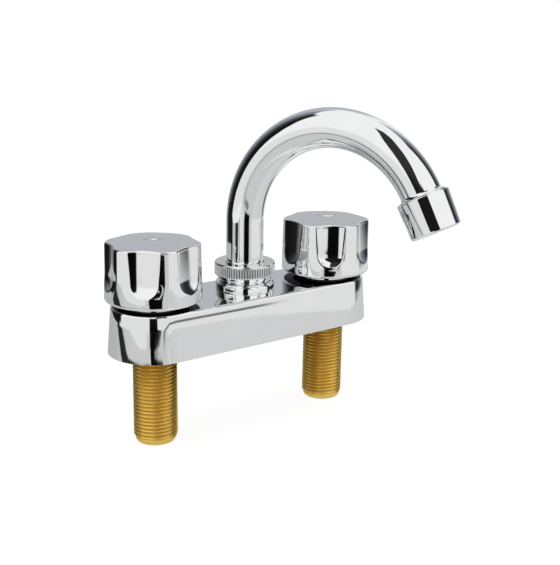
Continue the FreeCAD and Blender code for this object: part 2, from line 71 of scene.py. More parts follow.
# Studio: a pale floor under the shanks, one soft lamp, and three sheets that only mirrors show:
# a dark flag in front of the spout, a dark card round the left side, and a pale table
white_strength = 1.0
ambient_strength = 0.78
lamp_height = 0.9
lamp_size = 1.2
lamp_watts = 9.0
floor_size = 6.0
floor_matt = 0.9
floor_glow = 0.888
floor_shade = 0.14
flag_distance = 170 * MM
flag_tones = [(105 * MM, 24), (140 * MM, 48)]
# Height, left edge and right edge in millimetres
flag_rows = (
    (60, 17, 108), (94, 0, 105), (133, -2, 76), (185, -1, 86),
    (260, 4, 95), (365, 13, 98), (700, 16, 110),
)
card_distance = 490 * MM
card_bottom = -66 * MM
card_top = 20 * MM
card_left = -160
card_right_bottom = -87
card_right_top = -86
card_steps = 48
card_tones = [(-150, 165), (-139, 139), (-131, 92), (-123, 30), (-95, 20)]
# Degrees round from the camera's side, with the table's reach there in millimetres or its tone
table_edge = ((30, 350), (120, 350), (200, 400), (300, 400), (325, 350), (352, 350))
table_step = 4
table_tones = [(-110, 182), (-92, 184), (-60, 204), (30, 204), (55, 215), (110, 205)]
table_tint = (0.985, 0.995, 1.0)
mark_left = -93
mark_right = 12
mark_blur = 6
mark_near = [
    (-92, 330), (-85, 300), (-80, 285), (-70, 248), (-57, 265),
    (-40, 272), (-18, 270), (0, 245), (10, 280),
]
mark_far = [
    (-92, 420), (-82, 375), (-73, 345), (-65, 312), (-57, 290),
    (-40, 290), (-18, 290), (0, 265), (10, 300),
]
mark_tones = [(-92, 36), (-50, 44), (-42, 115), (-30, 150), (-20, 105), (0, 125), (10, 125)]

# The tap's own sizes, the same as in the solids
half_spacing = 50.8 * MM
body_height = 22.3 * MM
body_base_radius = 21.55 * MM
body_draft = 4.5
body_skin = 1.2 * MM
knob_bottom = 24.95 * MM
knob_skin = 1.3 * MM
knob_rim = 51.15 * MM
knob_top = 53.15 * MM
knob_radius = 22.45 * MM
knob_rim_radius = 21.9 * MM
knob_skirt_rounding = 1.2 * MM
knob_edge_rounding = 0.8 * MM
knob_cavity_radius = 16.4 * MM
knob_ceiling = 48.25 * MM
knob_hub_radius = 6.6 * MM
knob_hub_bottom = 40.2 * MM
knob_rib_bottom = 41.25 * MM
knob_rib_half = 0.8 * MM
knob_bore = 4.1 * MM
knob_bore_top = 46.9 * MM
screw_bore = 2.1 * MM
screw_seat = 48.2 * MM
headwork_turn = {"hot": 49.0, "cold": 57.0}
flute_count = 6
flute_depth = 2.4 * MM
flute_width = 15.4 * MM
flute_length = 21.4 * MM
flute_end_radius = 12.0 * MM
flute_lean = 3.0
shank_crest = 10.48 * MM
shank_bore = 6.5 * MM
shank_length = 44.45 * MM
shank_relief = 0.5 * MM
shank_spigot = 9.4 * MM
shank_spigot_top = 5.75 * MM
shank_end_rounding = 1.3 * MM
shank_bore_chamfer = 0.4 * MM
nut_radius = 14.7 * MM
nut_bottom = 26.81 * MM
nut_band_bottom = 29.71 * MM
nut_top = 36.05 * MM
nut_lip = 1.6 * MM
nut_shoulder = 0.3 * MM
nut_cone_reach = 0.5 * MM
nut_cone_height = 0.45 * MM
nut_eye_chamfer = 0.3 * MM
nut_foot = 12.42 * MM
nut_bore = 10.5 * MM
nut_eye = 9.3 * MM
drum_radius = 14.3 * MM
drum_rounding = 1.6 * MM
drum_top = 26.65 * MM
drum_inside = 11.0 * MM
drum_crevice = 0.25 * MM
tube_radius = 9.0 * MM
tube_wall = 1.0 * MM
tube_seat = 33.5 * MM
bend_radius = 47.8 * MM
spout_rise = 55.5 * MM
bend_sweep = 153.1
spout_rest_angle = -68.2
collar_brim = 11.0 * MM
collar_flare = 2.0 * MM
collar_thread = 10.9 * MM
collar_end = 61.0 * MM
socket_gap = 0.05 * MM
housing_top = 55.8 * MM
housing_end = 72.3 * MM
housing_top_radius = 11.75 * MM
housing_foot_radius = 11.25 * MM
housing_top_rounding = 0.45 * MM
housing_foot_rounding = 1.3 * MM
housing_bore = 10.0 * MM
housing_lip = 71.1 * MM
housing_shoulder = 63.7 * MM
screen_top = 70.75 * MM
screen_radius = 9.9 * MM
lip_radius = 9.0 * MM
guard = 0.15 * MM

# Detail that the solids leave out
buffed_height = 7.0 * MM
buffed_depth = 0.43
land_radius = 13.0 * MM
land_blend_bottom = 28.0 * MM
land_blend_top = 38.0 * MM
border_blend = 0.25 * MM
land_half_angle = math.radians(12)
knob_rounds = 480
knob_rows = 60
thread_pitch = 1.814 * MM
thread_depth = 0.95 * MM
thread_rows = 8
thread_rounds = 96
thread_run_out = 3.0 * MM
knurl_count = 72
knurl_steps = 12
knurl_depth = 0.6 * MM
knurl_margin = 0.35 * MM
knurl_rows = 14
knurl_end_rows = 2.0
tube_steps = 240
tube_rounds = 144
nut_edge = 0.9 * MM
mesh_pitch = 0.9 * MM
mesh_wire = 0.11 * MM
mesh_rim = 0.35 * MM
mesh_rounds = 96

slot_of = {part["node"]: part["material_slot"] for part in frame["record"]["subparts"]}


def linear(tone):
    """A display tone from 0 to 255 as light."""
    share = tone / 255
    if share <= 0.04045:
        return share / 12.92
    return ((share + 0.055) / 1.055) ** 2.4


def grey(value, tint=(1.0, 1.0, 1.0)):
    return tuple(value * share for share in tint) + (1.0,)


class Graph:
    """Shorthand for a node tree: inputs may be numbers, vectors or sockets."""

    def __init__(self, tree):
        self.tree = tree
        tree.nodes.clear()

    def node(self, kind, inputs=None, **settings):
        made = self.tree.nodes.new(kind)
        for key, value in settings.items():
            setattr(made, key, value)
        for key, value in (inputs or {}).items():
            self.feed(made.inputs[key], value)
        return made

    def feed(self, socket, value):
        if isinstance(value, bpy.types.NodeSocket):
            self.tree.links.new(value, socket)
        else:
            socket.default_value = value

    def math(self, operation, *values):
        made = self.node("ShaderNodeMath", operation=operation)
        for socket, value in zip(made.inputs, values):
            self.feed(socket, value)
        return made.outputs[0]

    def ramp(self, value, start, end, low=0.0, high=1.0, smooth=True):
        kind = "SMOOTHSTEP" if smooth else "LINEAR"
        made = self.node("ShaderNodeMapRange", interpolation_type=kind)
        for socket, number in zip(made.inputs, (value, start, end, low, high)):
            self.feed(socket, number)
        return made.outputs[0]

    def past(self, value, edge, soft):
        """0 below the edge, 1 above it, with a soft border."""
        return self.ramp(self.math("SUBTRACT", value, edge), -soft, soft)

    def short_of(self, value, edge, soft):
        """1 below the edge, 0 above it, with a soft border."""
        return self.math("SUBTRACT", 1.0, self.past(value, edge, soft))

    def reach(self, along, across):
        """Distance from the axis, from the two distances along and across."""
        squares = self.math("ADD", self.math("POWER", along, 2.0), self.math("POWER", across, 2.0))
        return self.math("SQRT", squares)

    def bent(self, value, points):
        """Straight runs through (value, result), level beyond the ends."""
        result = points[0][1]
        for (start, low), (end, high) in zip(points, points[1:]):
            run = self.ramp(value, start, end, 0.0, high - low, smooth=False)
            result = self.math("ADD", run, result)
        return result

    def toned(self, value, points):
        """Light that follows display tones given as (value, tone)."""
        return self.bent(value, [(place, linear(tone)) for place, tone in points])

    def mix(self, share, low, high):
        made = self.node("ShaderNodeMix", data_type="RGBA")
        self.feed(made.inputs[0], share)
        self.feed(made.inputs[6], low)
        self.feed(made.inputs[7], high)
        return made.outputs[2]

    def spot(self):
        """The three object coordinates apart."""
        return self.node("ShaderNodeSeparateXYZ", {"Vector": self.place()}).outputs

    def place(self, stretch=(1.0, 1.0, 1.0)):
        """Object coordinates, stretched."""
        spot = self.node("ShaderNodeTexCoord").outputs["Object"]
        if stretch == (1.0, 1.0, 1.0):
            return spot
        return self.node("ShaderNodeMapping", {"Vector": spot, "Scale": stretch}).outputs[0]

    def noise(self, size, detail=2.0, stretch=(1.0, 1.0, 1.0), low=0.0, high=1.0):
        """Cloudy variation with features of the given size in metres, from low to high."""
        made = self.node(
            "ShaderNodeTexNoise", {"Vector": self.place(stretch), "Scale": 1 / size, "Detail": detail}
        )
        return self.ramp(made.outputs[0], 0.25, 0.75, low, high)

    def bump(self, height, depth, normal=None):
        """Normal over a height from 0 to 1 that stands for a depth in metres."""
        made = self.node("ShaderNodeBump", {"Strength": 1.0, "Distance": depth, "Height": height})
        if normal is not None:
            self.feed(made.inputs["Normal"], normal)
        return made.outputs[0]

    def finish(self, **inputs):
        """Principled surface from its named inputs, on the material's output."""
        names = {key.replace("_", " ").title(): value for key, value in inputs.items()}
        surface = self.node("ShaderNodeBsdfPrincipled", names)
        output = self.node("ShaderNodeOutputMaterial")
        self.feed(output.inputs["Surface"], surface.outputs[0])


def new_material(name):
    material = bpy.data.materials.new(name)
    material.use_nodes = True
    return material, Graph(material.node_tree)


# Camera
def camera_axes():
    turn, tilt = math.radians(camera_azimuth), math.radians(camera_elevation)
    ahead = Vector((-math.sin(turn) * math.cos(tilt), math.cos(turn) * math.cos(tilt), -math.sin(tilt)))
    right = Vector((math.cos(turn), math.sin(turn), 0))
    return ahead, right


def make_camera():
    ahead, right = camera_axes()
    roll = math.radians(camera_roll)
    up = right.cross(ahead)
    rolled_right = right * math.cos(roll) + up * math.sin(roll)
    rolled_up = up * math.cos(roll) - right * math.sin(roll)
    aim = rolled_right * aim_right + Vector((0, 0, aim_height))
    data = bpy.data.cameras.new("camera")
    data.lens = focal_pixels * sensor_width_mm / frame_height_pixels
    data.sensor_width = sensor_width_mm
    data.clip_start = 0.01
    camera = bpy.data.objects.new("camera", data)
    axes = Matrix((rolled_right, rolled_up, -ahead)).transposed()
    camera.matrix_world = Matrix.Translation(aim - ahead * camera_distance) @ axes.to_4x4()
    bpy.context.scene.collection.objects.link(camera)
    bpy.context.scene.camera = camera


# Studio. Directions are degrees round from the camera's side, positive to the right, and degrees up
def camera_side():
    """The direction from the tap to the camera, as an angle about the upright axis."""
    eye = bpy.context.scene.camera.matrix_world.translation
    return math.atan2(eye.y, eye.x)


def round_from_camera(graph, vector):
    """Degrees that a vector lies round from the camera's side, and its height."""
    turned = graph.node(
        "ShaderNodeVectorRotate", {"Vector": vector, "Angle": -camera_side()}, rotation_type="Z_AXIS",
    ).outputs[0]
    parts = graph.node("ShaderNodeSeparateXYZ", {"Vector": turned})
    across = graph.math("DEGREES", graph.math("ARCTAN2", parts.outputs["Y"], parts.outputs["X"]))
    return across, parts.outputs["Z"]


class Studio:
    """Paints the panels that stand round the tap, which only shiny surfaces show."""

    def __init__(self, graph):
        self.graph = graph
        direction = graph.node("ShaderNodeTexCoord").outputs["Generated"]
        self.across, lift = round_from_camera(graph, direction)
        self.height = graph.math("DEGREES", graph.math("ARCSINE", lift))
        self.behind = graph.math("ABSOLUTE", self.across)
        self.colour = grey(1.0)

    def edge(self, points, value):
        if isinstance(points, (int, float)):
            return points
        return self.graph.bent(value, points)

    def shade(self, tones, tint):
        """A colour from one tone, or from tones that change round the studio."""
        if isinstance(tones, (int, float)):
            return grey(linear(tones), tint)
        return self.graph.mix(self.graph.toned(self.across, tones), grey(0.0), grey(1.0, tint))

    def panel(self, tones, left, right, bottom, top, soft=1.5, soft_height=1.5, tint=(1, 1, 1),
              place=None):
        """Side edges may change with height, and tones, top and bottom with the place round."""
        graph = self.graph
        place = self.across if place is None else place
        mask = graph.past(place, self.edge(left, self.height), soft)
        for value, limit, blur in (
            (place, self.edge(right, self.height), soft),
            (self.height, self.edge(top, self.across), soft_height),
        ):
            mask = graph.math("MULTIPLY", mask, graph.short_of(value, limit, blur))
        above = graph.past(self.height, self.edge(bottom, self.across), soft_height)
        mask = graph.math("MULTIPLY", mask, above)
        self.colour = graph.mix(mask, self.colour, self.shade(tones, tint))


def paint_studio(studio):
    """Panels by tone, left, right, bottom and top. A later one covers an earlier one."""
    studio.panel(228, -200, 200, -95, 8, soft_height=8)
    studio.panel(246, -200, 200, 8, 95, soft_height=8)
    studio.panel(203, -14, 40, -95, -9.3, soft=2, soft_height=0.5)
    studio.panel(130, -12, 10, -26.5, -22, soft=2, soft_height=0.8)
    left_tones = [(-168, 195), (-156, 170), (-144, 138), (-132, 106), (-120, 58), (-108, 30), (-95, 12)]
    left_edge = [(5, -87), (20, -87.5), (30, -91), (50, -103)]
    studio.panel(left_tones, -170, left_edge, -8, 53, soft=2, soft_height=2, tint=(0.93, 0.98, 1.08))
    studio.panel(155, -190, -95, -21, -8, soft=3, soft_height=1, tint=(0.96, 0.99, 1.0))
    right_tones = [(98, 50), (112, 40), (120, 85), (132, 130), (144, 185), (152, 215)]
    studio.panel(right_tones, 98, 152, -11, 56, soft=4, soft_height=3, tint=(0.93, 0.98, 1.08))
    studio.panel(186, 162, 190, -12, 46, soft=6, soft_height=5, tint=(0.94, 0.99, 1.05),
                 place=studio.behind)
    studio.panel(14, -6, [(5, 14), (18, 9)], -9, 24, soft=1, soft_height=4)
    foot = [(-10.9, 25), (-10.35, 4), (-9.7, 18.5), (-9, 25), (-8, 22), (-7.2, 14), (-5, 14)]
    studio.panel(9, -6, foot, -20, -5, soft=1, soft_height=1)
    studio.panel(50, -20.5, [(50, 8), (60, 11), (70, 20)], 52, 78, soft_height=4)
    line_bottom = [(28, -10.5), (36, -8.5), (45, -4.5)]
    line_top = [(28, -9), (36, -6), (45, -2.5)]
    studio.panel(105, 28, 70.3, line_bottom, line_top, soft=1.2, soft_height=0.6)


def make_world():
    """White for the camera, even light for dull surfaces, and the studio's panels for mirrors."""
    world = bpy.data.worlds.new("studio")
    world.use_nodes = True
    bpy.context.scene.world = world
    graph = Graph(world.node_tree)
    studio = Studio(graph)
    paint_studio(studio)
    rays = graph.node("ShaderNodeLightPath")
    mirrored = graph.math("MAXIMUM", rays.outputs["Is Glossy Ray"], rays.outputs["Is Transmission Ray"])
    shown = graph.mix(mirrored, grey(ambient_strength), studio.colour)
    shown = graph.mix(rays.outputs["Is Camera Ray"], shown, grey(white_strength))
    background = graph.node("ShaderNodeBackground", {"Color": shown, "Strength": 1.0})
    output = graph.node("ShaderNodeOutputWorld")
    graph.feed(output.inputs["Surface"], background.outputs[0])


def make_lamp():
    data = bpy.data.lights.new("softbox", "AREA")
    data.shape = "SQUARE"
    data.size = lamp_size
    data.energy = lamp_watts
    lamp = bpy.data.objects.new("softbox", data)
    lamp.location = (0, -0.1, lamp_height)
    lamp.visible_glossy = False
    lamp.visible_camera = False
    bpy.context.scene.collection.objects.link(lamp)


def floor_material():
    """White to the camera but for the tap's shadow, which it keeps, and clear when seen from below."""
    material, graph = new_material("floor_white")
    matt = graph.node("ShaderNodeBsdfDiffuse", {"Color": grey(floor_matt)})
    glow = graph.node("ShaderNodeEmission", {"Color": grey(1.0), "Strength": floor_glow})
    shade = graph.node("ShaderNodeBsdfDiffuse", {"Color": grey(floor_shade)})
    lifted = graph.node("ShaderNodeAddShader")
    graph.feed(lifted.inputs[0], glow.outputs[0])
    graph.feed(lifted.inputs[1], shade.outputs[0])
    rays = graph.node("ShaderNodeLightPath")
    chosen = graph.node("ShaderNodeMixShader")
    graph.feed(chosen.inputs[0], rays.outputs["Is Camera Ray"])
    graph.feed(chosen.inputs[1], matt.outputs[0])
    graph.feed(chosen.inputs[2], lifted.outputs[0])
    from_below = graph.node("ShaderNodeMixShader")
    graph.feed(from_below.inputs[0], graph.node("ShaderNodeNewGeometry").outputs["Backfacing"])
    graph.feed(from_below.inputs[1], chosen.outputs[0])
    graph.feed(from_below.inputs[2], graph.node("ShaderNodeBsdfTransparent").outputs[0])
    output = graph.node("ShaderNodeOutputMaterial")
    graph.feed(output.inputs["Surface"], from_below.outputs[0])
    return material


def stage_sheet(name, corners, faces, material):
    mesh = bpy.data.meshes.new(name)
    mesh.from_pydata([tuple(corner) for corner in corners], [], faces)
    sheet = bpy.data.objects.new(name, mesh)
    sheet.data.materials.append(material)
    bpy.context.scene.collection.objects.link(sheet)
    return sheet


def make_floor():
    level = cad_box[0].z
    half = floor_size / 2
    corners = [(-half, -half, level), (half, -half, level), (half, half, level), (-half, half, level)]
    floor = stage_sheet("floor", corners, [(0, 1, 2, 3)], floor_material())
    floor.visible_glossy = False


def glowing(name, colour):
    material, graph = new_material(name)
    glow = graph.node("ShaderNodeEmission", {"Color": colour(graph), "Strength": 1.0})
    output = graph.node("ShaderNodeOutputMaterial")
    graph.feed(output.inputs["Surface"], glow.outputs[0])
    return material


def mirrored_only(sheet):
    sheet.visible_camera = False
    sheet.visible_diffuse = False
    sheet.visible_shadow = False
    sheet.visible_transmission = False


def make_flag():
    """Dark sheets that stand before the spout, and show only in what mirrors them."""
    ahead, right = camera_axes()
    toward = -Vector((ahead.x, ahead.y, 0)).normalized() * flag_distance
    points, faces = [], []
    for row, (height, left, far) in enumerate(flag_rows):
        for side in (left, far):
            points.append(toward + right * side * MM + Vector((0, 0, height * MM)))
        if row:
            corner = 2 * row
            faces.append((corner - 2, corner - 1, corner + 1, corner))

    def shaded(graph):
        return graph.mix(graph.toned(graph.spot()["Z"], flag_tones), grey(0.0), grey(1.0))

    mirrored_only(stage_sheet("flag", points, faces, glowing("flag_dark", shaded)))


def make_card():
    """A dark curved card round the tap's left side, paler towards the back, only in mirrors."""
    points, faces = [], []
    for step in range(card_steps + 1):
        share = step / card_steps
        for height, right in ((card_bottom, card_right_bottom), (card_top, card_right_top)):
            angle = camera_side() + math.radians(card_left + (right - card_left) * share)
            points.append((card_distance * math.cos(angle), card_distance * math.sin(angle), height))
        if step:
            corner = 2 * step
            faces.append((corner - 2, corner, corner + 1, corner - 1))

    def shaded(graph):
        across = round_from_camera(graph, graph.place())[0]
        return graph.mix(graph.toned(across, card_tones), grey(0.0), grey(1.0))

    mirrored_only(stage_sheet("dark_card", points, faces, glowing("card_dark", shaded)))


def make_table():
    """A pale table with a dark mark to the left, open in front at the dark strip, only in mirrors."""
    level = cad_box[0].z
    points = [(0.0, 0.0, level)]
    for (near, near_reach), (far, far_reach) in zip(table_edge, table_edge[1:]):
        for place in range(near, far, table_step):
            angle = camera_side() + math.radians(place)
            radius = (near_reach + (far_reach - near_reach) * (place - near) / (far - near)) * MM
            points.append((radius * math.cos(angle), radius * math.sin(angle), level))
    fan = [(0, step, step + 1) for step in range(1, len(points) - 1)]

    def shaded(graph):
        across = round_from_camera(graph, graph.place())[0]
        spot = graph.spot()
        reach = graph.math("DIVIDE", graph.reach(spot["X"], spot["Y"]), MM)
        light = graph.toned(across, table_tones)
        dark = graph.toned(across, mark_tones)
        beyond = graph.past(reach, graph.bent(across, mark_near), mark_blur)
        before = graph.short_of(reach, graph.bent(across, mark_far), mark_blur)
        within = graph.math("MULTIPLY", beyond, before)
        within = graph.math("MULTIPLY", within, graph.past(across, mark_left, 1.5))
        within = graph.math("MULTIPLY", within, graph.short_of(across, mark_right, 2))
        darker = graph.math("MULTIPLY", within, graph.math("SUBTRACT", dark, light))
        return graph.mix(graph.math("ADD", light, darker), grey(0.0), grey(1.0, table_tint))

    mirrored_only(stage_sheet("table", points, fan, glowing("table_white", shaded)))


# Materials
def plated(name, roughness=0.02, hollow=None, worked=None, valley_shade=None):
    """Polished chrome plate with faint waves and rubbing marks.

    Where valley is 1 the colour is darker, painted shade for contrast alone, and where hollow is 1 the
    surface is rough and nearly black, the near black being painted shade. worked gives the height of a
    bump in millimetres.
    """
    material, graph = new_material(name)
    blotches = graph.noise(9 * MM, low=0.0, high=0.02)
    rubbing = graph.noise(0.5 * MM, detail=3.0, stretch=(1.0, 1.0, 0.06), low=0.0, high=0.02)
    rough = graph.math("ADD", graph.math("ADD", blotches, rubbing), roughness)
    plate = grey(0.925, (0.994, 1.0, 1.004))
    bright_plate = grey(0.95, (0.998, 1.0, 1.0))
    colour = graph.mix(graph.noise(14 * MM), plate, bright_plate)
    normal = graph.bump(graph.noise(11 * MM, detail=1.0), 0.006 * MM)
    if worked is not None:
        normal = graph.bump(worked(graph), 1.0 * MM, normal)
    # painted shade: dark grey colour where the valley mask is 1, for contrast
    if valley_shade is not None:
        colour = graph.mix(valley_shade(graph), colour, grey(0.24, (0.96, 0.99, 1.03)))
    # where hollow is 1: a rough bare finish, and a near-black colour that is painted shade
    if hollow is not None:
        dull = hollow(graph)
        grain = graph.noise(0.7 * MM, low=0.010, high=0.030)
        hollow_shade_colour = graph.mix(grain, grey(0.0), grey(1.0, (1.0, 0.98, 0.95)))
        colour = graph.mix(dull, colour, hollow_shade_colour)
        bare = graph.noise(1.5 * MM, low=0.45, high=0.6)
        rough = graph.ramp(dull, 0.0, 1.0, rough, bare, smooth=False)
    graph.finish(base_color=colour, metallic=1.0, roughness=rough, normal=normal)
    return material


def beside_valve(graph, spot):
    """Distance along from the nearer valve's axis, whichever side it is on."""
    return graph.math("SUBTRACT", graph.math("ABSOLUTE", spot["X"]), half_spacing)


def inside_knob(graph):
    """1 on the knob's hollow side, whichever knob it is, where the near-black colour is painted shade."""
    spot = graph.spot()
    reach = graph.reach(beside_valve(graph, spot), spot["Y"])
    within = graph.short_of(reach, knob_cavity_radius + 1.2 * MM, 0.3 * MM)
    below = graph.short_of(spot["Z"], knob_ceiling + 0.5 * MM, 0.2 * MM)
    inner = graph.math("MULTIPLY", within, below)
    under = graph.short_of(spot["Z"], knob_bottom + 0.04 * MM, 0.03 * MM)
    rim = graph.short_of(reach, knob_radius - knob_skin, 0.1 * MM)
    return graph.math("MAXIMUM", inner, graph.math("MULTIPLY", under, rim))


def under_body(graph):
    """1 on the body's underside and in its pockets, where the near-black colour is painted shade."""
    spot = graph.spot()
    along = graph.math("MAXIMUM", beside_valve(graph, spot), 0.0)
    reach = graph.reach(along, spot["Y"])
    lean = graph.math("MULTIPLY", spot["Z"], math.tan(math.radians(body_draft)))
    wall = graph.math("SUBTRACT", body_base_radius - body_skin, lean)
    within = graph.past(wall, reach, 0.1 * MM)
    below = graph.short_of(spot["Z"], body_height - 1.5 * MM, 0.1 * MM)
    return graph.math("MULTIPLY", within, below)


def buffed_edge(graph):
    """Height in millimetres of a bump that bends reflections near the body's top edge, not in the mesh."""
    drop = graph.math("SUBTRACT", graph.spot()["Z"], body_height - buffed_height)
    share = graph.math("MAXIMUM", graph.math("DIVIDE", drop, buffed_height), 0.0)
    return graph.math("MULTIPLY", graph.math("POWER", share, 2.0), -buffed_depth)


def knurl_valley_shade(graph):
    """1 at the bottom of the nut's knurl, where the colour is drawn darker for contrast: painted shade."""
    spot = graph.spot()
    reach = graph.reach(spot["X"], spot["Y"])
    deep = graph.ramp(reach, nut_radius - 0.05 * MM, nut_radius - 0.35 * MM)
    outside = graph.past(reach, nut_radius - knurl_depth - 0.1 * MM, 0.05 * MM)
    above = graph.past(spot["Z"], nut_band_bottom + knurl_margin, 0.05 * MM)
    below = graph.short_of(spot["Z"], nut_top - nut_edge, 0.05 * MM)
    band = graph.math("MULTIPLY", outside, above)
    return graph.math("MULTIPLY", deep, graph.math("MULTIPLY", band, below))


def thread_valley_shade(graph):
    """1 at the bottom of the shanks' threads, 0 on their crests, where painted shade darkens the brass."""
    spot = graph.spot()
    reach = graph.reach(beside_valve(graph, spot), spot["Y"])
    deep = graph.ramp(reach, shank_crest - 0.25 * MM, shank_crest - thread_depth)
    threaded = graph.past(spot["Z"], thread_run_out - shank_length, thread_run_out / 2)
    return graph.math("MULTIPLY", deep, threaded)


def brass(name, bright, dark, roughness, valley_shade=None):
    """Machined brass with turning marks round it, duller patches, and valleys darkened as painted shade.
    """
    material, graph = new_material(name)
    patches = graph.noise(5 * MM, detail=4.0)
    colour = graph.mix(patches, bright, dark)
    # painted shade: a darker, deeper orange at the thread roots, for contrast
    if valley_shade is not None:
        colour = graph.mix(valley_shade(graph), colour, grey(0.60, (1.0, 0.60, 0.13)))
    marks = graph.noise(0.12 * MM, detail=2.0, stretch=(0.04, 0.04, 1.0))
    rough = graph.math("ADD", graph.noise(2.5 * MM, low=roughness, high=roughness + 0.12),
                       graph.math("MULTIPLY", marks, 0.05))
    normal = graph.bump(marks, 0.006 * MM)
    graph.finish(base_color=colour, metallic=1.0, roughness=rough, normal=normal)
    return material


def steel(name, tone, roughness):
    """Bright steel with drawn lines."""
    material, graph = new_material(name)
    lines = graph.noise(0.1 * MM, detail=3.0, stretch=(1.0, 0.1, 1.0))
    colour = graph.mix(graph.noise(2 * MM), grey(tone), grey(tone * 0.85, (1.0, 0.99, 0.97)))
    rough = graph.math("ADD", graph.math("MULTIPLY", lines, 0.12), roughness)
    graph.finish(base_color=colour, metallic=1.0, roughness=rough, normal=graph.bump(lines, 0.003 * MM))
    return material


def moulded(name, colour, shade, roughness, grain=0.25 * MM, depth=0.004 * MM):
    """Plastic, rubber or ceramic: an even colour with faint clouds and a fine skin."""
    material, graph = new_material(name)
    clouds = graph.noise(3 * MM, detail=3.0)
    tone = graph.mix(clouds, colour + (1.0,), shade + (1.0,))
    rough = graph.noise(1.0 * MM, detail=3.0, low=roughness, high=roughness + 0.1)
    normal = graph.bump(graph.noise(grain, detail=3.0), depth)
    graph.finish(base_color=tone, roughness=rough, normal=normal)
    return material


def make_materials():
    return {
        "chrome_body": plated("chrome_body", hollow=under_body, worked=buffed_edge),
        "chrome_nut": plated("chrome_nut", roughness=0.04, valley_shade=knurl_valley_shade),
        "chrome_tube": plated("chrome_tube"),
        "chrome_aerator": plated("chrome_aerator"),
        "chrome_knob": plated("chrome_knob", hollow=inside_knob),
        "chrome_cap": plated("chrome_cap", roughness=0.06),
        "brass_shank": brass("brass_shank", (1.0, 0.72, 0.19, 1.0), (0.97, 0.65, 0.13, 1.0), 0.34,
                             valley_shade=thread_valley_shade),
        "brass_inner": brass("brass_inner", (0.82, 0.62, 0.27, 1.0), (0.72, 0.52, 0.20, 1.0), 0.26),
        "disc_ceramic": moulded("disc_ceramic", (0.90, 0.88, 0.84), (0.86, 0.84, 0.80), 0.12,
                                depth=0.0005 * MM),
        "rubber": moulded("rubber", (0.020, 0.020, 0.021), (0.032, 0.031, 0.030), 0.55),
        "nylon": moulded("nylon", (0.86, 0.85, 0.80), (0.82, 0.81, 0.75), 0.42),
        "aerator_plastic": moulded("aerator_plastic", (0.74, 0.76, 0.76), (0.68, 0.70, 0.71), 0.35),
        "steel_mesh": steel("steel_mesh", 0.68, 0.22),
        "steel_screw": steel("steel_screw", 0.62, 0.2),
    }


# Pieces that take the place of plainer solids
def add_piece(name, mesh, material, body, *nodes, slot=None, sharp=38.0):
    mesh.shade_smooth()
    mesh.set_sharp_from_angle(angle=math.radians(sharp))
    piece = bpy.data.objects.new(name, mesh)
    piece.data.materials.append(material)
    bpy.context.scene.collection.objects.link(piece)
    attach(piece, body)
    if nodes:
        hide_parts(*nodes)
    return piece


def add_rings(faces, rows, rounds):
    """Faces between the rings of a closed turned outline."""
    for row in range(rows):
        below = row * rounds
        above = (row + 1) % rows * rounds
        for step in range(rounds):
            ahead = (step + 1) % rounds
            faces.append((below + step, below + ahead, above + ahead, above + step))


def lathe_mesh(name, stations, rounds, cut=None):
    """Closed turned ring through (radius, height, depth of cut).

    cut gives the share of that depth that is cut away at (turn, height).
    """
    points = []
    for radius, height, depth in stations:
        for step in range(rounds):
            turn = step / rounds
            reach = radius - depth * (cut(turn, height) if depth else 0.0)
            angle = 2 * math.pi * turn
            points.append((reach * math.cos(angle), reach * math.sin(angle), height))
    faces = []
    add_rings(faces, len(stations), rounds)
    mesh = bpy.data.meshes.new(name)
    mesh.from_pydata(points, [], faces)
    return mesh


def turned_mesh(name, outline, rounds):
    """Closed turned ring through (radius, height), with nothing cut."""
    return lathe_mesh(name, [(radius, height, 0.0) for radius, height in outline], rounds)


def arc(centre, radius, start, end, steps):
    """Points round an arc in the outline plane, angles in degrees."""
    found = []
    for step in range(steps + 1):
        angle = math.radians(start + (end - start) * step / steps)
        found.append((centre[0] + radius * math.cos(angle), centre[1] + radius * math.sin(angle)))
    return found


def thread_cut(turn, height):
    """Right-hand thread with straight flanks and rounded crests and roots."""
    phase = (height / thread_pitch - turn) % 1.0
    flank = 1 - abs(2 * phase - 1)
    wave = 0.5 - 0.5 * math.cos(math.pi * flank)
    return 0.5 * flank + 0.5 * wave


def threaded_shank():
    bottom = -shank_length
    stations = [(shank_bore, bottom + shank_bore_chamfer, 0.0)]
    stations.append((shank_bore + shank_bore_chamfer, bottom, 0.0))
    foot = (shank_crest - thread_depth - shank_end_rounding, bottom + shank_end_rounding)
    for radius, height in arc(foot, shank_end_rounding, -90, -12, 8):
        stations.append((radius, height, 0.0))
    root = stations[-1][0]
    row = thread_pitch / thread_rows
    start = stations[-1][1] + row
    count = int((-shank_relief - start) / row)
    for step in range(count + 1):
        height = start + (-shank_relief - start) * step / count
        climb = min(1.0, (height - start) / thread_run_out)
        lift = math.sin(climb * math.pi / 2)
        crest = root + (shank_crest - root) * lift
        stations.append((crest, height, thread_depth * lift))
    stations.append((shank_spigot, -shank_relief, 0.0))
    stations.append((shank_spigot, shank_spigot_top, 0.0))
    stations.append((shank_bore, shank_spigot_top, 0.0))
    return stations


def make_shanks(material):
    for side, x in (("hot", -half_spacing), ("cold", half_spacing)):
        mesh = lathe_mesh(side + "_threaded_shank", threaded_shank(), thread_rounds, thread_cut)
        mesh.transform(Matrix.Translation((x, 0, 0)))
        add_piece(side + "_threaded_shank", mesh, material, "base", side + "_shank", sharp=60.0)


def smooth_step(value, low, high):
    share = min(1.0, max(0.0, (value - low) / (high - low)))
    return share * share * (3 - 2 * share)


